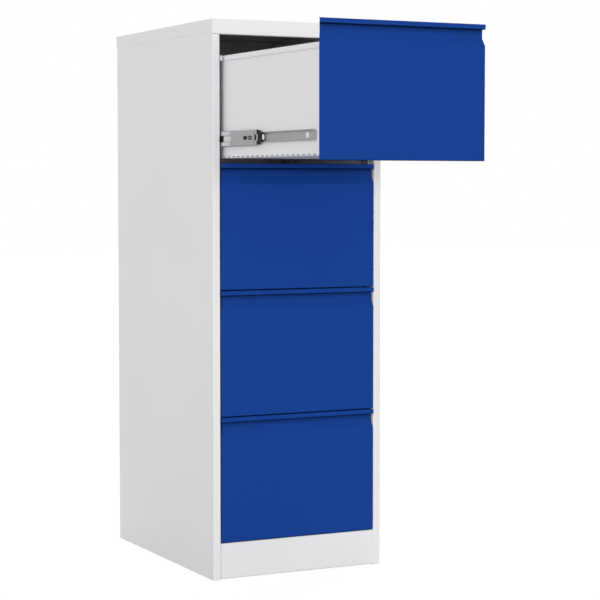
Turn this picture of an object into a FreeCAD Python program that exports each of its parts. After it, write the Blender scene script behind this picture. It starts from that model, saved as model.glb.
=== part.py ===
import FreeCAD, Part
import os
from math import atan2, cos, hypot, pi, sin, tan

# Four-drawer filing cabinet: a folded steel carcass with four deep drawers on telescopic slides.
# Millimetres. +X is to the right seen from the front, +Y to the back and +Z up.
# The origin is on the floor, in the middle of the carcass's footprint.
# The top drawer is drawn fully open, and the other three are shut.

# Carcass
cabinet_width = 452.0
cabinet_depth = 620.0
cabinet_height = 1330.0
carcass_sheet = 0.8
carcass_bend = 1.3
post_width = 19.5
post_return = 24.0
post_lip = 8.0
back_flange = 15.0
floor_flange = 15.0
cap_front_flange = 36.0
cap_side_flange = 30.0
cap_return = 20.0
cap_upstand = 8.0
cap_edge_radius = 2.0
plinth_height = 88.0
plinth_lift = 2.0
plinth_setback = 2.5
plinth_return = 30.0
tray_drop = 4.0
tray_flange = 25.0
seam_gap = 0.3
corner_relief = 1.4

# Uprights that carry the slides
upright_sheet = 1.2
upright_width = 40.0
upright_foot = 9.0
upright_top_gap = 4.0
rear_upright_inset = 50.0
slot_width = 3.0
slot_height = 14.0
hook_height = 6.0
hook_drop = 5.0
hook_reach = 1.4

# Levelling feet
foot_radius = 14.0
foot_thickness = 6.0
foot_lift = 1.0
stem_radius = 4.0
foot_inset_x = 40.0
foot_inset_y = 50.0

# Drawers
drawer_count = 4
front_gap = 1.8
front_side_gap = 1.5
front_sheet = 0.8
front_bend = 1.6
front_thickness = 17.2
lip_height = 11.5
lip_proud = 2.0
groove_depth = 6.5
groove_height = 20.0
groove_slope = 16.5
groove_bend = 4.0
front_edge_fold = 9.0
front_end_taper = 0.66
box_sheet = 0.8
box_bend = 1.6
box_overhang = 22.0
box_base = 11.0
box_top = 251.5
hem_height = 12.0
hem_proud = 2.5
hem_bend = 0.9
lug_reach = 11.5
lug_inset = 25.0
rear_fold = 10.0
divider_pitch = 26.0
divider_start = 20.0
divider_slot_length = 15.0
divider_slot_height = 3.2
divider_slot_lift = 1.4

# Telescopic slide: three nested sections with two rows of balls between each pair
slide_length = 500.0
slide_overtravel = 8.0
slide_clearance = 0.8
slide_thickness = 12.7
slide_height = 45.2
slide_centre = 55.8
slide_sheet = 1.2
slide_bend = 1.2
lip_bend = 0.9
ball_radius = 1.6
ball_clearance = 0.05
outer_ball_inset = 4.4
inner_ball_inset = 8.3
outer_row = 19.75
inner_row = 12.25
cabinet_rail_setback = 30.0
middle_rail_setback = 59.0
middle_rail_end_gap = 1.0
middle_web_gap = 0.7
middle_track = 3.5
middle_step = 1.5
middle_lip_gap = 0.4
middle_hole_place = 33.0
middle_hole_length = 15.0
middle_hole_height = 7.0
middle_window_place = 59.5
middle_window_length = 17.0
middle_window_height = 8.0
drawer_rail_setback = 33.0
rail_end_cut = 3.5
lip_gap = 0.2
rail_hole_place = 43.0
rail_hole_length = 14.0
rail_hole_height = 12.0
rail_window_place = 263.0
rail_window_length = 12.0
rail_window_height = 11.5
cage_sheet = 0.4
outer_cage_inset = 16.0
outer_cage_length = 260.0
prong_length = 60.0
prong_inner = 8.0
prong_outer = 16.0
inner_cage_gap = 2.0
inner_cage_length = 185.0
balls_per_row = 2
bumper_reach = 30.0
bumper_wing = 17.0
bumper_half_height = 17.0
bumper_waist = 11.5
bumper_thickness = 3.1
bumper_tongue = 24.0
bumper_tongue_half = 8.0

# Places that follow from the sizes above
half_width = cabinet_width / 2
half_depth = cabinet_depth / 2
front_y = -half_depth
side_outer = half_width - carcass_sheet
side_inner = side_outer - carcass_sheet
post_inner = half_width - post_width
opening_top = cabinet_height - cap_front_flange
panel_top = cabinet_height - carcass_sheet - corner_relief
back_outer = half_depth - carcass_sheet
flange_outer = back_outer - carcass_sheet
tray_top = plinth_height - tray_drop
bay_pitch = (opening_top - plinth_height) / drawer_count
front_half_width = post_inner - front_side_gap
box_front = front_thickness + box_sheet
slide_outer = post_inner - slide_clearance
box_half_width = slide_outer - slide_thickness
box_length = slide_length + box_overhang
box_back = box_front + box_length
lug_place = box_back - lug_inset
slide_travel = slide_length + slide_overtravel
middle_rail_length = slide_length + cabinet_rail_setback - middle_rail_setback - middle_rail_end_gap
outer_cage_start = middle_rail_setback + outer_cage_inset
inner_cage_start = middle_rail_setback + bumper_tongue + inner_cage_gap + slide_travel / 4
divider_slots = int((box_length - divider_start + divider_pitch - divider_slot_length) / divider_pitch)
front_upright_y = front_y + cabinet_rail_setback - 2 * carcass_sheet
rear_upright_y = front_y + cabinet_rail_setback + slide_length - rear_upright_inset
outer_step = ball_radius + ball_clearance
up = FreeCAD.Vector(0, 0, 1)
along_x = FreeCAD.Vector(1, 0, 0)
along_y = FreeCAD.Vector(0, 1, 0)
nowhere = FreeCAD.Vector(0, 0, 0)


def block(x0, x1, y0, y1, z0, z1):
    """A plain block between two corners."""
    return Part.makeBox(x1 - x0, y1 - y0, z1 - z0, FreeCAD.Vector(x0, y0, z0))


def mirrored(shape):
    """The same shape on the other side of the cabinet's middle plane."""
    return shape.mirror(nowhere, along_x)


def moved(shape, y, z):
    """A copy of the shape shifted along Y and Z."""
    copy = shape.copy()
    copy.translate(FreeCAD.Vector(0, y, z))
    return copy


def merged(shapes):
    """One solid from shapes that touch."""
    return shapes[0].multiFuse(shapes[1:]).removeSplitter()


def sheet_side(points, bends, offset, curved):
    """Lines and arcs beside a bent centre line, at a signed distance to its left."""
    edges = []
    last = None
    for i, point in enumerate(points):
        if i == 0 or i == len(points) - 1:
            a, b = (points[0], points[1]) if i == 0 else (points[-2], points[-1])
            run = hypot(b[0] - a[0], b[1] - a[1])
            nx, ny = -(b[1] - a[1]) / run, (b[0] - a[0]) / run
            corner = [(point[0] + nx * offset, point[1] + ny * offset)]
        else:
            corner = bend_points(points[i - 1], point, points[i + 1], bends[i - 1], offset)
        if last is not None:
            edges.append(("line", [last, corner[0]]))
        if len(corner) == 3 and i in curved:
            edges.append(("arc", corner))
        elif len(corner) == 3:
            edges.append(("line", [corner[0], corner[2]]))
        last = corner[-1]
    return edges


def bend_points(before, at, after, bend, offset):
    """Start, middle and end of one bend, seen at an offset from the centre line."""
    into = atan2(at[1] - before[1], at[0] - before[0])
    out = atan2(after[1] - at[1], after[0] - at[0])
    turn = (out - into + pi) % (2 * pi) - pi
    side = 1 if turn > 0 else -1
    set_back = bend * tan(abs(turn) / 2)
    start = (at[0] - set_back * cos(into), at[1] - set_back * sin(into))
    centre = (start[0] - side * bend * sin(into), start[1] + side * bend * cos(into))
    radius = bend - side * offset
    result = []
    for share in (0, 0.5, 1):
        angle = into + turn * share
        result.append((centre[0] + side * radius * sin(angle), centre[1] - side * radius * cos(angle)))
    return result


def folded(points, bends, sheet, place, run, curved=()):
    """A sheet bent along a centre line of points, placed by a function and run along a vector.

    The bends counted in curved are round. The others are tight, and have one flat each.
    """
    if not isinstance(bends, (list, tuple)):
        bends = [bends] * (len(points) - 2)
    left = sheet_side(points, bends, sheet / 2, curved)
    right = sheet_side(points, bends, -sheet / 2, curved)
    pieces = left + [("line", [left[-1][1][-1], right[-1][1][-1]])]
    for kind, ends in reversed(right):
        pieces.append((kind, ends[::-1]))
    pieces.append(("line", [right[0][1][0], left[0][1][0]]))
    edges = []
    for kind, ends in pieces:
        spots = [place(*end) for end in ends]
        if kind == "line":
            edges.append(Part.makeLine(spots[0], spots[1]))
        else:
            edges.append(Part.Arc(*spots).toShape())
    return Part.Face(Part.Wire(edges)).extrude(run)


def in_plan(z):
    """Profile points read as X and Y, at a height."""
    return lambda x, y: FreeCAD.Vector(x, y, z)


def from_side(x):
    """Profile points read as Y and Z, at a place along X."""
    return lambda y, z: FreeCAD.Vector(x, y, z)


def from_front(y):
    """Profile points read as X and Z, at a place along Y."""
    return lambda x, z: FreeCAD.Vector(x, y, z)


def eased_slot(x0, x1, y, z, length, height):
    """A slot with eased corners that runs along Y and is cut through along X."""
    ease = height * 0.3
    slot = block(x0, x1, y - length / 2, y + length / 2, z - height / 2, z + height / 2)
    corners = [e for e in slot.Edges if abs(e.tangentAt(e.FirstParameter).x) > 0.9]
    return slot.makeChamfer(ease, corners)


def left_side_panel():
    """Side sheet, folded round the front post and in behind the back panel."""
    half = carcass_sheet / 2
    side = side_outer - half
    front = front_y + half
    inner = post_inner + half
    behind = front_y + post_return
    rear = flange_outer - half
    path = [(-side + back_flange, rear), (-side, rear), (-side, front), (-inner, front)]
    path += [(-inner, behind), (-inner - post_lip, behind)]
    panel = folded(path, carcass_bend, carcass_sheet, in_plan(0), up * panel_top, curved=(2,))
    post_top = opening_top - seam_gap
    above = block(-side_inner, -post_inner + 1, front_y - 1, behind + 1, post_top, cabinet_height)
    nose = block(-half_width, -post_inner + 1, front_y - 1, front_y + corner_relief + 1, post_top, cabinet_height)
    clear = carcass_bend + carcass_sheet
    ledge = block(-side_inner - half, -side_outer + floor_flange, front_y + post_return + clear,
                  flange_outer - clear, 0, carcass_sheet)
    return merged([panel.cut(above).cut(nose), ledge])


def back_panel():
    """Flat sheet over the rear flanges of the two sides."""
    reach = side_outer - carcass_bend - seam_gap
    return block(-reach, reach, flange_outer, back_outer, plinth_lift, panel_top)


def top_cap():
    """Lid with a deep front rail turned in at its foot, and shallower flanges on the other edges."""
    t = carcass_sheet
    low = cabinet_height - cap_front_flange
    front_low = low + 3 * t
    side_low = cabinet_height - cap_side_flange
    shell = block(-half_width, half_width, front_y, half_depth, front_low, cabinet_height)
    hollow = block(-side_outer, side_outer, front_y + t, half_depth - t, front_low - 1, cabinet_height - t)
    below = block(-half_width - 1, half_width + 1, front_y + t, half_depth + 1, front_low - 1, side_low)
    cap = rounded_lid(shell, cap_edge_radius).cut(rounded_lid(hollow, cap_edge_radius - t)).cut(below)
    end = front_y + cap_return
    face = front_y + t / 2
    path = [(face, front_low), (face, low + t / 2), (end, low + t / 2), (end, low + cap_upstand)]
    ledge = folded(path, carcass_bend, t, from_side(-half_width), along_x * cabinet_width)
    reach = side_inner - carcass_bend
    for side in (-1, 1):
        x0, x1 = sorted((side * reach, side * (half_width + 1)))
        ledge = ledge.cut(block(x0, x1, front_y + t, end + 1, low - 1, low + cap_upstand + 1))
    return merged([cap, ledge])


def rounded_lid(solid, radius):
    """Round the four top edges of a block."""
    top = solid.BoundBox.ZMax
    rim = [e for e in solid.Edges if e.BoundBox.ZMin > top - 0.01]
    return solid.makeFillet(radius, rim)


def base_tray():
    """Floor of the carcass, with flanges turned down."""
    t = carcass_sheet
    reach = side_inner - 0.2
    back = flange_outer - t - 0.2
    wing_front = front_y + post_return + 2 * t
    nose_front = front_y + plinth_setback + t + 0.2
    nose_reach = post_inner - seam_gap
    plate = block(-reach, reach, wing_front, back, tray_top - t, tray_top)
    nose = block(-nose_reach, nose_reach, nose_front, wing_front, tray_top - t, tray_top)
    low = tray_top - tray_flange
    sides = [block(s * reach - (t if s > 0 else 0), s * reach + (t if s < 0 else 0), wing_front, back,
                   low, tray_top) for s in (-1, 1)]
    rear_reach = side_outer - back_flange - 1
    rear = block(-rear_reach, rear_reach, back - t, back, low, tray_top)
    front = block(-nose_reach, nose_reach, nose_front, nose_front + t, low, tray_top)
    return merged([plate, nose, rear, front] + sides)


def foot_places():
    """Where the four levelling feet stand."""
    x = half_width - foot_inset_x
    y = half_depth - foot_inset_y
    return [(i * x, j * y) for j in (-1, 1) for i in (-1, 1)]


def prism(x, y, z, radius, height, sides):
    """An upright bar with a regular outline."""
    turns = [2 * pi * i / sides for i in range(sides)]
    return upright_prism([(x + radius * cos(a), y + radius * sin(a)) for a in turns], z, height)


def levelling_feet():
    """Four hexagonal feet on stems that reach up to the tray."""
    feet = []
    for x, y in foot_places():
        foot = prism(x, y, foot_lift, foot_radius, foot_thickness, 6)
        stem = prism(x, y, foot_lift, stem_radius, tray_top - carcass_sheet - foot_lift, 12)
        feet.append(merged([foot, stem]))
    return Part.makeCompound(feet)


def plinth():
    """Kick plate between the posts, set back a little, with its edges turned in."""
    half = carcass_sheet / 2
    face = front_y + plinth_setback + half
    top = plinth_height - half
    low = plinth_lift + half
    path = [(face + back_flange, low), (face, low), (face, top), (face + plinth_return, top)]
    reach = post_inner - seam_gap
    return folded(path, carcass_bend, carcass_sheet, from_side(-reach), along_x * 2 * reach, curved=(2,))


def upright(y):
    """Channel on a side panel with slots that the slides hook into, for the left side."""
    half = upright_sheet / 2
    wall = side_inner - half
    web = slide_outer + half
    near = y + half
    far = y + upright_width - half
    path = [(-wall, near + upright_foot), (-wall, near), (-web, near)]
    path += [(-web, far), (-wall, far), (-wall, far - upright_foot)]
    height = opening_top - upright_top_gap - tray_top
    channel = folded(path, carcass_bend, upright_sheet, in_plan(tray_top), up * height)
    hook_y, hook_z = hook_place(y)
    for i in range(drawer_count):
        top = bay_base(i) + hook_z + hook_height + seam_gap
        channel = channel.cut(block(-slide_outer - 2 * upright_sheet, -slide_outer + 1,
                                    hook_y - slot_width / 2, hook_y + slot_width / 2,
                                    top - slot_height, top))
    return channel


def hook_place(y):
    """Place along Y and foot above the bay's base of the hook on one upright."""
    return y + upright_width / 2, slide_centre - hook_height / 2


def bay_base(index):
    """Height of the bottom of a bay, counted from the top drawer."""
    return plinth_height + (drawer_count - 1 - index) * bay_pitch


def drawer_front():
    """Blue front: one sheet with a full-width pull lip over a finger groove."""
    half = front_sheet / 2
    top = bay_pitch - front_gap / 2
    low = front_gap / 2
    back = front_y + front_thickness - half
    lip = front_y - lip_proud + half
    groove = front_y + groove_depth + half
    face = front_y + half
    lip_base = top - lip_height + half
    groove_base = top - lip_height - groove_height
    path = [(back, top - front_edge_fold), (back, top - half), (lip, top - half), (lip, lip_base)]
    path += [(groove, lip_base), (groove, groove_base), (face, groove_base - groove_slope)]
    path += [(face, low + half), (back, low + half), (back, low + front_edge_fold)]
    bends = [front_bend, front_bend, front_bend, front_bend, groove_bend, groove_bend]
    bends += [front_bend, front_bend]
    front = folded(path, bends, front_sheet, from_side(-front_half_width),
                   along_x * 2 * front_half_width, curved=(2, 3, 7))
    return front.cut(end_taper(1)).cut(end_taper(-1))


def end_taper(side):
    """Wedge that draws in everything behind the face sheet at one end of a front."""
    start = front_y + front_sheet
    end = front_y + front_thickness + 1
    drawn_in = (end - start) * front_end_taper
    plan = [(front_half_width, start), (front_half_width + 1, start), (front_half_width + 1, end),
            (front_half_width - drawn_in, end)]
    return upright_prism([(side * x, y) for x, y in plan], 0, bay_pitch)


def upright_prism(plan, z, height):
    """A solid with the plan's outline that stands at a height."""
    corners = [FreeCAD.Vector(x, y, z) for x, y in plan]
    return Part.Face(Part.makePolygon(corners + corners[:1])).extrude(up * height)


def drawer_liner():
    """Inner wall of the front, folded forward at its sides to meet the blue sheet."""
    half = box_sheet / 2
    wall = front_y + front_thickness + half
    edge = front_y + front_sheet + 0.2
    side = box_half_width - half
    path = [(-side, edge), (-side, wall), (side, wall), (side, edge)]
    base = box_base
    channel = folded(path, box_bend, box_sheet, in_plan(base), up * (box_top - base))
    reach = side - box_bend
    upper = block(-reach, reach, wall - half, wall + half, box_top - 1, bay_pitch - front_gap / 2 - front_sheet)
    return merged([channel, upper])


def drawer_box():
    """Sides and floor from one sheet with rolled top edges, closed by a back."""
    half = box_sheet / 2
    side = box_half_width - half
    rim = side + hem_proud
    top = box_top - half
    base = box_base + half
    left = [(-rim, box_top - hem_height), (-rim, top), (-side, top), (-side, base)]
    right = [(-x, z) for x, z in reversed(left)]
    bends = [hem_bend] * 6
    start = front_y + box_front
    tub = folded(left + right, bends, box_sheet, from_front(start), along_y * box_length)
    for i in range(divider_slots):
        y = start + divider_start + i * divider_pitch
        low = box_base + divider_slot_lift
        tub = tub.cut(block(-box_half_width - 1, box_half_width + 1, y, y + divider_slot_length,
                            low, low + divider_slot_height))
    return merged([tub, drawer_back()] + hem_lug(-1) + hem_lug(1))


def hem_lug(side):
    """Plate and folded tab that stand out from the rolled edge of one side."""
    t = box_sheet
    y = front_y + lug_place
    outer = box_half_width + lug_reach
    low = box_top - hem_height
    x0, x1 = sorted((side * (box_half_width + hem_proud - t), side * outer))
    plate = block(x0, x1, y, y + t, low, box_top)
    x0, x1 = sorted((side * outer, side * (outer - t)))
    return [plate, block(x0, x1, y - hem_height, y + t / 2, low, box_top)]


def drawer_back():
    """Back plate with a folded top."""
    t = box_sheet
    half = t / 2
    y = front_y + box_back
    plate = block(-box_half_width, box_half_width, y, y + t, box_base, box_top)
    path = [(y + half, box_top - 1), (y + half, box_top - half), (y + rear_fold, box_top - half)]
    path.append((y + rear_fold, box_top - hem_height))
    fold = folded(path, [half + 0.05, box_bend], t, from_side(-box_half_width), along_x * 2 * box_half_width)
    return merged([plate, fold])


def rail_profile(points, start, length):
    """A left-hand slide section: points are inset from the upright and height from the middle."""
    upper = [(-slide_outer + u, w) for u, w in points]
    lower = [(x, -w) for x, w in reversed(upper)]
    bends = [lip_bend] * (len(points) - 2) + [slide_bend]
    return folded(upper + lower, bends + bends[::-1], slide_sheet,
                  from_front(front_y + start), along_y * length)


def cabinet_rail():
    """Outer section of a left slide, hooked into the uprights."""
    half = slide_sheet / 2
    lip = outer_ball_inset + outer_step + half
    flange = slide_height / 2 - half
    points = [(lip, outer_row + lip_gap), (lip, flange), (half, flange)]
    rail = rail_profile(points, cabinet_rail_setback, slide_length)
    hooks = []
    for y in (front_upright_y, rear_upright_y):
        hook_y, hook_z = hook_place(y)
        hooks.append(rail_hook(hook_y, hook_z - slide_centre))
    return moved(merged([rail] + hooks), 0, slide_centre)


def rail_hook(y, z):
    """Tab that passes through an upright's slot and drops behind its web."""
    y0 = y - upright_sheet / 2
    y1 = y + upright_sheet / 2
    far = -slide_outer - upright_sheet - seam_gap - hook_reach
    arm = block(far, -slide_outer + slide_sheet / 2, y0, y1, z, z + hook_height)
    tooth = block(far, far + hook_reach, y0, y1, z - hook_drop, z + hook_height)
    return arm.fuse(tooth)


def middle_rail():
    """Middle section of a left slide, with stepped flanges and pierced front end."""
    half = slide_sheet / 2
    web = slide_sheet + middle_web_gap + half
    shoulder = outer_row - outer_step - half
    track = inner_row + outer_step + half
    lip = inner_ball_inset + outer_step + half
    bend_out = lip - middle_track
    points = [(lip, inner_row + middle_lip_gap), (lip, track), (bend_out, track)]
    points += [(bend_out - middle_step, shoulder), (web, shoulder)]
    rail = rail_profile(points, middle_rail_setback, middle_rail_length)
    x0 = -slide_outer + web - slide_sheet
    x1 = x0 + 2 * slide_sheet
    start = front_y + middle_rail_setback
    hole = eased_slot(x0, x1, start + middle_hole_place, 0, middle_hole_length, middle_hole_height)
    window = window_cut(x0, x1, start + middle_window_place, middle_window_length, middle_window_height)
    return moved(rail.cut(hole).cut(window), 0, slide_centre)


def window_cut(x0, x1, y, length, height):
    """A square-cornered window on the slide's middle line, cut through along X."""
    return block(x0, x1, y - length / 2, y + length / 2, -height / 2, height / 2)


def drawer_rail():
    """Inner section of a left slide, fixed to the drawer's side."""
    half = slide_sheet / 2
    web = slide_thickness - half
    flange = inner_row - outer_step - half
    lip = inner_ball_inset - outer_step - half
    points = [(lip, inner_row - cage_sheet / 2 - lip_gap), (lip, flange), (web, flange)]
    rail = rail_profile(points, drawer_rail_setback, slide_length)
    x0 = -box_half_width - 2 * slide_sheet
    x1 = -box_half_width + 1
    start = front_y + drawer_rail_setback
    hole = eased_slot(x0, x1, start + rail_hole_place, 0, rail_hole_length, rail_hole_height)
    window = window_cut(x0, x1, start + rail_window_place, rail_window_length, rail_window_height)
    rail = rail.cut(hole).cut(window)
    for side in (-1, 1):
        tip = side * (inner_row + 1)
        root = side * (flange - rail_end_cut)
        corners = [(start - 1, tip), (start - 1, root - side), (start + rail_end_cut + 2, tip)]
        spots = [FreeCAD.Vector(-slide_outer - 1, y, z) for y, z in corners]
        rail = rail.cut(Part.Face(Part.makePolygon(spots + spots[:1])).extrude(along_x * slide_outer))
    return moved(rail, 0, slide_centre)


def faceted_ball():
    """Steel ball at the origin, drawn with fourteen flat faces."""
    size = ball_radius
    base = size * 2 ** 0.5
    half = Part.makeWedge(-base, 0, -base, 0, 0, base, 2 * size, base, 0, 0)
    half.rotate(nowhere, along_y, 45)
    both = half.fuse(half.mirror(nowhere, along_y)).removeSplitter()
    return both.common(block(-size, size, -size, size, -size, size))


def ball_cage(start, length, web, leg_end, row, inset, prong=0.0):
    """A left-hand ball cage: a thin strip whose two legs carry the balls, behind any prongs."""
    path = [(leg_end, row), (web, row), (web, -row), (leg_end, -row)]
    path = [(-slide_outer + u, w) for u, w in path]
    strip = folded(path, slide_bend, cage_sheet, from_front(front_y + start), along_y * length)
    ball = faceted_ball()
    balls = []
    holes = []
    hole = ball_radius + ball_clearance
    for side in (-1, 1):
        for i in range(balls_per_row):
            y = front_y + start + prong + (length - prong) * (i + 0.5) / balls_per_row
            x = -slide_outer + inset
            balls.append(ball.translated(FreeCAD.Vector(x, y, side * row)))
            holes.append(block(x - hole, x + hole, y - hole, y + hole, side * row - 1, side * row + 1))
    if prong:
        holes += prong_cuts(front_y + start, prong)
    strip = strip.cut(holes[0].multiFuse(holes[1:]))
    return [moved(shape, 0, slide_centre) for shape in [strip] + balls]


def prong_cuts(front, length):
    """What is cut off the front of a cage's strip to leave two prongs."""
    cuts = []
    for low, high in ((-slide_height, -prong_outer), (-prong_inner, prong_inner), (prong_outer, slide_height)):
        cuts.append(block(-slide_outer, -box_half_width, front - 1, front + length, low, high))
    return cuts


def outer_cage():
    """Cage between the cabinet section and the middle section."""
    web = slide_sheet + middle_web_gap / 2
    leg_end = outer_ball_inset + ball_radius + 0.25 - ball_clearance - 0.4
    return ball_cage(outer_cage_start, outer_cage_length, web, leg_end, outer_row, outer_ball_inset, prong_length)


def inner_cage():
    """Cage between the middle section and the drawer section."""
    web = slide_sheet * 2 + middle_web_gap + 0.5
    leg_end = inner_ball_inset + ball_radius - 0.2
    return ball_cage(inner_cage_start, inner_cage_length, web, leg_end, inner_row, inner_ball_inset)


def rail_bumper():
    """Black nose on the front of a left middle section, with a tongue behind its web."""
    web = -slide_outer + slide_sheet + middle_web_gap
    end = front_y + middle_rail_setback
    thick = web + bumper_thickness
    wing = block(web, thick, end - bumper_wing, end, -bumper_half_height, bumper_half_height)
    waist = block(web, thick, end - bumper_reach, end, -bumper_waist, bumper_waist)
    tongue = block(web + slide_sheet, thick, end - 1, end + bumper_tongue,
                   -bumper_tongue_half, bumper_tongue_half)
    return moved(merged([wing, waist, tongue]), 0, slide_centre)


def export(name, shape):
    """Write one named part."""
    if not shape.isValid():
        print("not valid:", name)
    shape.exportStep("parts/" + name + ".step")


def export_pair(name, shape, y, z):
    """Write a left piece and its mirror image as two named parts."""
    placed = moved(shape, y, z)
    export(name + "_left", placed)
    export(name + "_right", mirrored(placed))


def export_set(name, shapes, y, z):
    """Write left pieces and their mirror images as one named part."""
    left = [moved(shape, y, z) for shape in shapes]
    export(name, Part.makeCompound(left + [mirrored(shape) for shape in left]))


def export_carcass():
    """Write the parts that stay still."""
    left = left_side_panel()
    export("left_side_panel", left)
    export("right_side_panel", mirrored(left))
    export("back_panel", back_panel())
    export("top_cap", top_cap())
    export("base_tray", base_tray())
    export("plinth", plinth())
    export_pair("front_upright", upright(front_upright_y), 0, 0)
    export_pair("rear_upright", upright(rear_upright_y), 0, 0)
    export("levelling_feet", levelling_feet())


def export_drawers():
    """Write the drawers with their slides, from the top one down."""
    pieces = {"front": drawer_front(), "liner": drawer_liner(), "box": drawer_box()}
    rails = {"cabinet_rail": (cabinet_rail(), 0.0), "middle_rail": (middle_rail(), 0.5)}
    rails["drawer_rail"] = (drawer_rail(), 1.0)
    sets = {"rail_bumpers": ([rail_bumper()], 0.5), "outer_cages": (outer_cage(), 0.25)}
    sets["inner_cages"] = (inner_cage(), 0.75)
    for i in range(drawer_count):
        opened = slide_travel if i == 0 else 0.0
        prefix = "drawer_%d_" % (i + 1)
        base = bay_base(i)
        for name, shape in pieces.items():
            export(prefix + name, moved(shape, -opened, base))
        for name, (shape, share) in rails.items():
            export_pair(prefix + name, shape, -opened * share, base)
        for name, (shapes, share) in sets.items():
            export_set(prefix + name, shapes, -opened * share, base)


os.makedirs("parts", exist_ok=True)
export_carcass()
export_drawers()
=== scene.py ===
import bmesh
import bpy
from math import cos, pi, sin
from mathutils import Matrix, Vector

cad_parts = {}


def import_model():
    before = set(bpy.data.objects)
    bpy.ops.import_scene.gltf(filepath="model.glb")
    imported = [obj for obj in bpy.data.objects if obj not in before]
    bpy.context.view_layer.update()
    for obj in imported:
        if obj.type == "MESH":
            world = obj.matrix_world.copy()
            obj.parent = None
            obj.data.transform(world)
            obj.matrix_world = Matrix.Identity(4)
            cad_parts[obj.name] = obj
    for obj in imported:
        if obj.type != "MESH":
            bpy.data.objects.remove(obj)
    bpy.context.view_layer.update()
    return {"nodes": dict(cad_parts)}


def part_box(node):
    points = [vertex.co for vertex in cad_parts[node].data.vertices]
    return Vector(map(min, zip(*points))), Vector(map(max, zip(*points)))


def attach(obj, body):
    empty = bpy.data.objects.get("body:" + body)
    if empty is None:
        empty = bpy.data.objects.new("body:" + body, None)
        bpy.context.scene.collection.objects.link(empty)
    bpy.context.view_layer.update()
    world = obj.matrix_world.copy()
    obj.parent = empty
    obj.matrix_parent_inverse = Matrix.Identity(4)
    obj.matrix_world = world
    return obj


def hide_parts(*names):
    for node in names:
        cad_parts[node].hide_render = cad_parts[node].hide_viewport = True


# Looks for a four-drawer filing cabinet: white powder-coated carcass, blue fronts, plated slides.
# Metres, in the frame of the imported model: +X right, +Y back, +Z up, fronts facing -Y.

# Camera, found from the cabinet's edges in the reference photograph
camera_place = (-2.0202, -4.3537, 0.9419)
camera_yaw = 0.46407
camera_pitch = 0.06141
focal_length = 112.67
sensor_width = 36.0
farthest_seen = 100

# Colours, as linear values
white_paint = (0.775, 0.775, 0.79)
blue_paint = (0.0080, 0.0480, 0.264)
zinc = (0.50, 0.49, 0.50)
# A lighter copy of the zinc, for a painted lit patch on the slide
painted_lit_zinc = (0.68, 0.70, 0.71)
steel = (0.78, 0.78, 0.80)
black = (0.010, 0.010, 0.011)
stage_white = (0.44, 0.44, 0.44)

# How much paint is spared the painted shade of hollows: on walls, and on tops
walls_spared = (1.0, 0.0)
tops_spared = (0.0, 1.0)

# Upward share of a surface's normal, from where it is quite an underside to where it isn't one,
# and from where it isn't a top to where it is quite one, which places the painted shade
from_underside = (-0.6, -0.05)
to_top = (0.15, 0.5)

# Slide: its sheet's thickness, and depths in from the outer face of the middle rail
sheet = 0.0012
proud = 0.0003
film = 0.0001
# Depth where the black floor of painted shade in the oval hole begins
shade_floor_depth = 0.0008
bumper_back = 0.0031
buffer_depths = (0.0026, 0.0062)

# Outlines on a slide, in millimetres: forward of the middle rail's front end, and up from the
# slide's middle
bumper_edge = [(0, 17), (9, 17), (13, 14.5), (13.5, 11.3), (28, 11.3), (28.5, 8.5), (25, 7.5)]
bumper_edge += [(24, 0), (25, -7.5), (28.5, -8.5), (28, -11.3), (14, -11), (14, -15.5), (0, -15.5)]
bumper_edge += [(0, -8.6)]
bumper_face = bumper_edge + [(3.8, -7), (6.2, -4), (7.2, 0), (6.2, 4), (3.8, 7), (0, 8.6)]
bumper_core = bumper_edge + [(0, -8), (-24, -8), (-24, 8), (0, 8)]
nose_plate = [(0, -8.4), (3.6, -6.8), (6, -3.9), (7, 0), (6, 3.9), (3.6, 6.8), (0, 8.4)]
clip_face = [(-12, 7.5), (-8, 7.6), (-3, 5.5), (-0.3, 2.5), (0.4, 0), (-0.3, -2.5), (-3, -5.5)]
clip_face += [(-8, -7.6), (-12, -7.5), (-9.5, 0)]
clip_rim = [(-8, 9.6), (-1.5, 7.2), (2.2, 3.4), (3.2, 0), (2.2, -3.4), (-1.5, -7.2), (-8, -9.6)]
clip_rim += [(-8, -8.6), (-2.2, -6.4), (1.2, -3), (2.1, 0), (1.2, 3), (-2.2, 6.4), (-8, 8.6)]
upper_mark = [(-14.5, 13.5), (-12, 13.5), (-11.5, 8.8), (-13.5, 8.8)]
lower_mark = [(-14.5, -12.8), (-12.5, -12.8), (-12, -10.2), (-14, -10.2)]
# Painted shade: a black fill in a window of the middle rail, for the dark inside seen through it
painted_shade_window = [(-70, -4.2), (-50.5, -4.2), (-50.5, 4.2), (-70, 4.2)]
front_pad = [(19, -6.2), (28.5, -6.2), (29, 0), (28.5, 6.2), (19, 6.2)]
# Painted shade: a black sheet well back on the middle rail, for the shade beside the front post
painted_shade_patch = [(-215, -7.5), (-180, -7.5), (-180, 7.5), (-215, 7.5)]
# Painted light: a pale zinc sheet on the middle rail, for a lit patch just ahead of the painted
# shade
painted_lit_patch = [(-179, -5.5), (-141, -5.5), (-141, 5.5), (-179, 5.5)]

# Ovals on a slide, in millimetres: place forward of that end, length and height
# Painted shade: a black ring and floor in an oval hole, for its shaded rim, round a zinc core
painted_shade_ring = (-34.5, 19, 9.5)
rivet_hole = (-34.5, 13, 3.6)
painted_shade_floor = (-33, 14.8, 6.8)
rivet_core = (-34.5, 8, 3.2)

# On the drawer rail, in millimetres back from its front end: lugs with their length and height,
# and screws, whose head is given by radius in millimetres and depth in metres
lugs = [(43, 13.2, 11.2), (263, 11.2, 10.7)]
lug_depths = (-0.0004, sheet)
screws = [26, 170, 330, 470]
screw_head = [(4.3, 0.0), (4.3, -0.0006), (3.4, -0.0014), (1.6, -0.0016), (1.2, -0.0008)]

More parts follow.
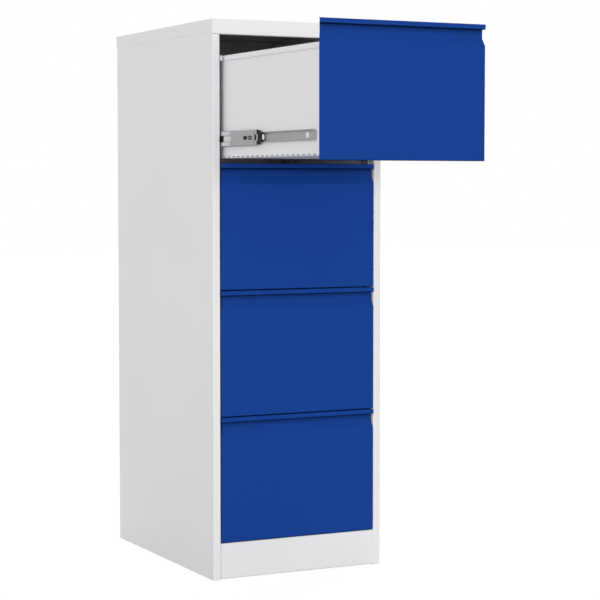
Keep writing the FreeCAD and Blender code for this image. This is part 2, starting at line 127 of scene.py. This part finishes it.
# Radius of rounded corners on the outlines, in millimetres, and bevels on edges, in metres
rim_corner = 0.3
mark_corner = 0.8
buffer_corner = 1
bumper_corner = 1.2
# Corner of the black sheet of painted shade
shade_patch_corner = 1.5
# Corner of the pale zinc sheet of painted light
lit_patch_corner = 2
lug_corner = 2.2
fine_bevel = 0.0002
buffer_bevel = 0.0004

# How finely curves are drawn, and hollows felt for
corner_steps = (0.0, 0.33, 0.67, 1.0)
corner_share = 2.5
oval_points = 24
head_points = 20
hollow_samples = 8

# A name for each finish
slots = {"white": "white_paint", "zinc": "zinc_steel", "steel": "bright_steel",
         "plastic": "black_plastic"}

# Lamps, far off and large so that they light evenly: place, aim, width and height, and power
key_lamp = ((3.0, -39.0, 3.1), (0.0, -0.3, 0.8), (22.0, 6.0), 4150.0)
side_lamp = ((-30.0, -21.0, 3.4), (0.0, 0.0, 0.8), (28.0, 6.5), 5850.0)
back_lamp = ((25.0, 24.0, 25.0), (0.0, 0.0, 0.8), (14.0, 14.0), 11000.0)
world_level = 0.64

# Floor: its size, how white it looks to the camera, and the share of that in the picture
floor_size = 40
floor_glow = 1.14
floor_share = 0.84


def principled(name, color, roughness, metallic=0.0, mirror=0.5):
    """A material and its shader; mirror is how strongly a plain surface reflects."""
    material = bpy.data.materials.new(name)
    material.use_nodes = True
    shader = material.node_tree.nodes["Principled BSDF"]
    shader.inputs["Base Color"].default_value = (*color, 1)
    shader.inputs["Roughness"].default_value = roughness
    shader.inputs["Metallic"].default_value = metallic
    shader.inputs["Specular IOR Level"].default_value = mirror
    return material, shader


def noise(tree, scale, detail=2.0, stretch=None):
    """Noise in object space, stretched along an axis if wanted."""
    place = tree.nodes.new("ShaderNodeTexCoord")
    texture = tree.nodes.new("ShaderNodeTexNoise")
    texture.inputs["Scale"].default_value = scale
    texture.inputs["Detail"].default_value = detail
    if stretch:
        mapping = tree.nodes.new("ShaderNodeMapping")
        mapping.inputs["Scale"].default_value = stretch
        tree.links.new(place.outputs["Object"], mapping.inputs["Vector"])
        tree.links.new(mapping.outputs["Vector"], texture.inputs["Vector"])
    else:
        tree.links.new(place.outputs["Object"], texture.inputs["Vector"])
    return texture.outputs["Fac"]


def spread(tree, value, low, high, start=0.0, end=1.0):
    """Map a value from one range, which is nought to one if not given, onto another."""
    node = tree.nodes.new("ShaderNodeMapRange")
    node.inputs["From Min"].default_value = start
    node.inputs["From Max"].default_value = end
    node.inputs["To Min"].default_value = low
    node.inputs["To Max"].default_value = high
    tree.links.new(value, node.inputs["Value"])
    return node.outputs["Result"]


def shaded(tree, value, color, low, high):
    """A colour made a little darker and lighter by a value."""
    node = tree.nodes.new("ShaderNodeMix")
    node.data_type = "RGBA"
    node.inputs["A"].default_value = (*[c * low for c in color], 1)
    node.inputs["B"].default_value = (*[min(c * high, 1) for c in color], 1)
    tree.links.new(value, node.inputs["Factor"])
    return node.outputs["Result"]


def bump(tree, shader, value, depth, strength):
    """Fine relief."""
    node = tree.nodes.new("ShaderNodeBump")
    node.inputs["Distance"].default_value = depth
    node.inputs["Strength"].default_value = strength
    tree.links.new(value, node.inputs["Height"])
    tree.links.new(node.outputs["Normal"], shader.inputs["Normal"])


def underside(tree):
    """How far a surface doesn't face down, and how far it faces up, from nought to one."""
    geometry = tree.nodes.new("ShaderNodeNewGeometry")
    split = tree.nodes.new("ShaderNodeSeparateXYZ")
    tree.links.new(geometry.outputs["Normal"], split.inputs["Vector"])
    rise = split.outputs["Z"]
    return spread(tree, rise, 0.0, 1.0, *from_underside), spread(tree, rise, 0.0, 1.0, *to_top)


def combined(tree, operation, first, second):
    """Two values made into one, kept between nought and one."""
    node = tree.nodes.new("ShaderNodeMath")
    node.operation = operation
    node.use_clamp = True
    tree.links.new(first, node.inputs[0])
    tree.links.new(second, node.inputs[1])
    return node.outputs[0]


def hollow_shade(tree, color, reach, least, below, spared, alone):
    """The colour with painted shade: darkened on undersides and where surfaces stand close in
    front.

    It falls to the share least in a deep hollow within reach, and to the share below on an
    underside. Alone counts only the piece's own surfaces.
    """
    near = tree.nodes.new("ShaderNodeAmbientOcclusion")
    near.samples = hollow_samples
    near.only_local = alone
    near.inputs["Distance"].default_value = reach
    node = tree.nodes.new("ShaderNodeMix")
    node.data_type = "RGBA"
    node.blend_type = "MULTIPLY"
    node.inputs["Factor"].default_value = 1.0
    tree.links.new(color, node.inputs["A"])
    under, above = underside(tree)
    hollow = combined(tree, "MAXIMUM", spread(tree, near.outputs["AO"], least, 1.0),
                      spread(tree, above, *spared))
    shade = combined(tree, "MULTIPLY", hollow, spread(tree, under, below, 1.0))
    tree.links.new(shade, node.inputs["B"])
    return node.outputs["Result"]


def powder_coat(name, color, roughness, mirror, **hollows):
    """Powder coat: orange-peel relief, a slight drift in colour and gloss, and painted shade in
    hollows and on undersides.
    """
    material, shader = principled(name, color, roughness, mirror=mirror)
    tree = material.node_tree
    drift = noise(tree, scale=3.0)
    coat = hollow_shade(tree, shaded(tree, drift, color, low=0.97, high=1.03), **hollows)
    tree.links.new(coat, shader.inputs["Base Color"])
    patches = noise(tree, scale=14.0, detail=3.0)
    gloss = spread(tree, patches, low=roughness - 0.04, high=roughness + 0.05)
    tree.links.new(gloss, shader.inputs["Roughness"])
    bump(tree, shader, noise(tree, scale=650.0), depth=0.00004, strength=0.35)
    return material


def plated(name, color, roughness, metallic):
    """Rolled and plated steel, with faint streaks along the slide."""
    material, shader = principled(name, color, roughness, metallic)
    tree = material.node_tree
    streaks = noise(tree, scale=60.0, detail=3.0, stretch=(1.0, 0.04, 6.0))
    tree.links.new(shaded(tree, streaks, color, low=0.86, high=1.08), shader.inputs["Base Color"])
    gloss = spread(tree, streaks, low=roughness - 0.05, high=roughness + 0.08)
    tree.links.new(gloss, shader.inputs["Roughness"])
    bump(tree, shader, streaks, depth=0.00003, strength=0.2)
    return material


def moulded(name, color, roughness):
    """Moulded plastic with a fine grain."""
    material, shader = principled(name, color, roughness, mirror=0.15)
    tree = material.node_tree
    grain = noise(tree, scale=900.0)
    tree.links.new(shaded(tree, grain, color, low=0.8, high=1.3), shader.inputs["Base Color"])
    bump(tree, shader, grain, depth=0.00005, strength=0.4)
    return material


def give(node, material):
    """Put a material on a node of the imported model."""
    held = node.data.materials
    for i in range(len(held)):
        held[i] = material
    if not len(held):
        held.append(material)


def dress(nodes):
    """Make the materials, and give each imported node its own."""
    # Both coats carry painted shade: the white in tight hollows on tops, the blue in hollows of
    # its own, such as the grooves under the lips, and on undersides
    white = powder_coat("white_powder_coat", white_paint, roughness=0.42, mirror=0.25,
                        reach=0.005, least=0.3, below=1.0, spared=walls_spared, alone=False)
    blue = powder_coat("blue_powder_coat", blue_paint, roughness=0.5, mirror=0.03,
                       reach=0.016, least=-0.5, below=0.3, spared=tops_spared, alone=True)
    rail = plated("zinc_plate", zinc, roughness=0.45, metallic=0.6)
    # Lighter copy of the zinc plate, used only for the painted lit patch
    lit_zinc_look = plated("painted_lit_zinc_plate", painted_lit_zinc, roughness=0.4, metallic=0.3)
    bright = plated("bright_steel", steel, roughness=0.18, metallic=1.0)
    plastic = moulded("black_plastic", black, roughness=0.5)
    for name, node in nodes.items():
        if name.endswith("_front"):
            give(node, blue)
        elif "cages" in name:
            give(node, bright)
        elif "bumpers" in name:
            give(node, plastic)
        elif "rail" in name or "upright" in name or name == "levelling_feet":
            give(node, rail)
        else:
            give(node, white)
    return {"white": white, "zinc": rail, "lit_zinc_look": lit_zinc_look, "steel": bright, "plastic": plastic}


def eased(points, radius):
    """A closed outline with its corners rounded off."""
    ring = []
    for i, corner in enumerate(points):
        here = Vector(corner)
        ends = []
        for other in (points[i - 1], points[(i + 1) % len(points)]):
            way = Vector(other) - here
            ends.append(here + way.normalized() * min(radius, way.length / corner_share))
        for t in corner_steps:
            ring.append(ends[0] * (1 - t) ** 2 + here * 2 * t * (1 - t) + ends[1] * t ** 2)
    return ring


def oval(place, length, height):
    """A round-ended outline."""
    radius = height / 2
    ring = []
    for i in range(oval_points):
        angle = 2 * pi * (i + 0.5) / oval_points
        shift = (length / 2 - radius) * (1 if cos(angle) > 0 else -1)
        ring.append((place + shift + radius * cos(angle), radius * sin(angle)))
    return ring


def prism(mesh, ring, place, depths, hole=None):
    """Add an outline to a mesh, drawn out between two depths, round a hole if one is given."""
    verts, faces = mesh
    start = len(verts)
    count = len(ring)
    loops = [ring] + ([hole] if hole else [])
    for loop in loops:
        for depth in depths:
            verts += [place(forward, up, depth) for forward, up in loop]
    for n in range(len(loops)):
        base = start + 2 * n * count
        for i in range(count):
            j = (i + 1) % count
            faces.append((base + i, base + j, base + count + j, base + count + i))
    for side in (0, count):
        if hole:
            inner = start + 2 * count + side
            for i in range(count):
                j = (i + 1) % count
                faces.append((start + side + i, start + side + j, inner + j, inner + i))
        else:
            faces.append(tuple(start + side + i for i in range(count)))


def turned(mesh, profile, forward, place):
    """Add a round head to a mesh, from pairs of radius and depth."""
    verts, faces = mesh
    start = len(verts)
    count = head_points
    for radius, depth in profile:
        for i in range(count):
            angle = 2 * pi * i / count
            verts.append(place(forward + radius * cos(angle), radius * sin(angle), depth))
    for n in range(len(profile) - 1):
        base = start + n * count
        for i in range(count):
            j = (i + 1) % count
            faces.append((base + i, base + j, base + count + j, base + count + i))
    faces.append(tuple(start + i for i in range(count)))
    faces.append(tuple(start + (len(profile) - 1) * count + i for i in range(count)))


def piece(name, mesh, material, body, slot, bevel=0.0):
    """Make a mesh into a piece that rides on a body."""
    data = bpy.data.meshes.new(name)
    data.from_pydata(mesh[0], [], mesh[1])
    data.materials.append(material)
    thing = bpy.data.objects.new(name, data)
    bpy.context.scene.collection.objects.link(thing)
    tool = bmesh.new()
    tool.from_mesh(data)
    bmesh.ops.recalc_face_normals(tool, faces=tool.faces)
    tool.to_mesh(data)
    tool.free()
    if bevel:
        modifier = thing.modifiers.new("edges", "BEVEL")
        modifier.width = bevel
        modifier.segments = 2
        modifier.limit_method = "ANGLE"
    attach(thing, body)
    return thing


def spot(side, face, front, middle):
    """A function that turns forward, up and depth on a slide into a place."""
    def place(forward, up, depth):
        return (side * (face - depth), front - forward / 1000, middle + up / 1000)
    return place


def middle_rail_pieces(drawer, looks):
    """Bumper, nose, clip and plugs at the front ends of a drawer's two middle rails; the black
    plugs are painted shade, and further back lie a black sheet of painted shade and a pale zinc
    sheet of painted light.
    """
    bumper, nose, clips_and_shade, rim, core, lit_patch_mesh, buffer = [([], []) for _ in range(7)]
    for word, side in (("left", -1), ("right", 1)):
        low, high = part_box(f"{drawer}_middle_rail_{word}")
        place = spot(side, max(abs(low[0]), abs(high[0])), low[1], (low[2] + high[2]) / 2)
        prism(bumper, eased(bumper_face, bumper_corner), place, (0, sheet))
        prism(bumper, eased(bumper_core, bumper_corner), place, (sheet, bumper_back))
        prism(nose, nose_plate, place, (0, sheet))
        for outline in (clip_face, upper_mark, lower_mark):
            prism(clips_and_shade, eased(outline, mark_corner), place, (-proud, film))
        # Black fill of painted shade in the window
        prism(clips_and_shade, eased(painted_shade_window, mark_corner), place, (-proud, sheet))
        # A black sheet of painted shade, for the shade beside the front post
        prism(clips_and_shade, eased(painted_shade_patch, shade_patch_corner), place, (-film, film))
        # A pale zinc sheet of painted light, for a lit patch
        prism(lit_patch_mesh, eased(painted_lit_patch, lit_patch_corner), place, (-film, film))
        prism(buffer, eased(front_pad, buffer_corner), place, buffer_depths)
        # Black ring and floor of painted shade in the oval hole, round a zinc core
        prism(clips_and_shade, oval(*painted_shade_ring), place, (-proud, film), oval(*rivet_hole))
        prism(clips_and_shade, oval(*painted_shade_floor), place, (shade_floor_depth, sheet))
        prism(rim, eased(clip_rim, rim_corner), place, (-proud, film))
        prism(core, oval(*rivet_core), place, (0, shade_floor_depth))
    body = f"{drawer}_middle"
    made = piece(f"{drawer}_slide_bumpers", bumper, looks["plastic"], body, slots["plastic"],
                 fine_bevel)
    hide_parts(f"{drawer}_rail_bumpers")
    piece(f"{drawer}_slide_noses", nose, looks["zinc"], body, slots["zinc"])
    # Black plastic clips, together with the black fills, ring and sheet of painted shade
    piece(f"{drawer}_slide_clips_and_painted_shade", clips_and_shade, looks["plastic"], body, slots["plastic"])
    piece(f"{drawer}_clip_rims", rim, looks["steel"], body, slots["steel"])
    piece(f"{drawer}_clip_rivets", core, looks["zinc"], body, slots["zinc"])
    # The pale zinc sheets of painted light
    piece(f"{drawer}_painted_lit_patches", lit_patch_mesh, looks["lit_zinc_look"], body, slots["zinc"])
    piece(f"{drawer}_front_buffers", buffer, looks["white"], body, slots["white"], buffer_bevel)


def drawer_rail_pieces(drawer, looks):
    """Lugs that hook a drawer's two rails to its sides, and their screws."""
    lug, screw = ([], []), ([], [])
    for word, side in (("left", -1), ("right", 1)):
        low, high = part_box(f"{drawer}_drawer_rail_{word}")
        face = min(abs(low[0]), abs(high[0])) + sheet
        place = spot(side, face, low[1], (low[2] + high[2]) / 2)
        for back, length, height in lugs:
            rear, fore, top = -back - length / 2, -back + length / 2, height / 2
            corners = [(rear, -top), (fore, -top), (fore, top), (rear, top)]
            prism(lug, eased(corners, lug_corner), place, lug_depths)
        for back in screws:
            turned(screw, screw_head, -back, place)
    piece(f"{drawer}_rail_lugs", lug, looks["white"], drawer, slots["white"], fine_bevel)
    piece(f"{drawer}_rail_screws", screw, looks["zinc"], drawer, slots["zinc"])


def aim(thing, target):
    """Turn a lamp or camera to look at a point."""
    thing.rotation_euler = (Vector(target) - thing.location).to_track_quat("-Z", "Y").to_euler()


def lamp(name, place, target, size, power):
    """A soft lamp, wide and high as given."""
    data = bpy.data.lights.new(name, "AREA")
    data.shape = "RECTANGLE"
    data.size, data.size_y = size
    data.energy = power
    thing = bpy.data.objects.new(name, data)
    thing.location = place
    bpy.context.scene.collection.objects.link(thing)
    aim(thing, target)


def camera():
    """The photograph's viewpoint."""
    data = bpy.data.cameras.new("camera")
    data.lens = focal_length
    data.sensor_width = sensor_width
    data.sensor_fit = "HORIZONTAL"
    data.clip_end = farthest_seen
    thing = bpy.data.objects.new("camera", data)
    thing.location = camera_place
    thing.rotation_euler = (pi / 2 - camera_pitch, 0, -camera_yaw)
    bpy.context.scene.collection.objects.link(thing)
    bpy.context.scene.camera = thing


def seen_white(tree, shader, output):
    """Show pure white to the camera, and the shader to everything else."""
    path = tree.nodes.new("ShaderNodeLightPath")
    glow = tree.nodes.new("ShaderNodeBackground")
    glow.inputs["Color"].default_value = (1, 1, 1, 1)
    mix = tree.nodes.new("ShaderNodeMixShader")
    tree.links.new(path.outputs["Is Camera Ray"], mix.inputs[0])
    tree.links.new(shader, mix.inputs[1])
    tree.links.new(glow.outputs[0], mix.inputs[2])
    tree.links.new(mix.outputs[0], output.inputs["Surface"])


def world():
    """Even studio light from all round, with a white surround."""
    scene_world = bpy.data.worlds.new("studio")
    scene_world.use_nodes = True
    bpy.context.scene.world = scene_world
    tree = scene_world.node_tree
    background = tree.nodes["Background"]
    background.inputs["Color"].default_value = (1, 1, 1, 1)
    background.inputs["Strength"].default_value = world_level
    seen_white(tree, background.outputs[0], tree.nodes["World Output"])


def faintly_shaded(tree, shader, output):
    """Show near white to the camera with a share of the shader, and the shader to all else."""
    path = tree.nodes.new("ShaderNodeLightPath")
    glow = tree.nodes.new("ShaderNodeEmission")
    glow.inputs["Color"].default_value = (1, 1, 1, 1)
    glow.inputs["Strength"].default_value = floor_glow
    share = tree.nodes.new("ShaderNodeMath")
    share.operation = "MULTIPLY"
    share.inputs[1].default_value = floor_share
    tree.links.new(path.outputs["Is Camera Ray"], share.inputs[0])
    mix = tree.nodes.new("ShaderNodeMixShader")
    tree.links.new(share.outputs[0], mix.inputs[0])
    tree.links.new(shader, mix.inputs[1])
    tree.links.new(glow.outputs[0], mix.inputs[2])
    tree.links.new(mix.outputs[0], output.inputs["Surface"])


def floor():
    """Pale floor that keeps the cabinet's shadow."""
    bpy.ops.mesh.primitive_plane_add(size=floor_size, location=(0, 0, 0))
    plane = bpy.context.object
    plane.name = "studio_floor"
    material, shader = principled("studio_floor", stage_white, roughness=0.9)
    tree = material.node_tree
    speckle = noise(tree, scale=5.0)
    coat = shaded(tree, speckle, stage_white, low=0.99, high=1.01)
    tree.links.new(coat, shader.inputs["Base Color"])
    faintly_shaded(tree, shader.outputs[0], tree.nodes["Material Output"])
    plane.data.materials.append(material)


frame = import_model()
looks = dress(frame["nodes"])
for number in (1, 2, 3, 4):
    middle_rail_pieces(f"drawer_{number}", looks)
    drawer_rail_pieces(f"drawer_{number}", looks)
camera()
world()
lamp("key", *key_lamp)
lamp("side", *side_lamp)
lamp("back", *back_lamp)
floor()
bpy.context.scene.view_settings.view_transform = "Standard"
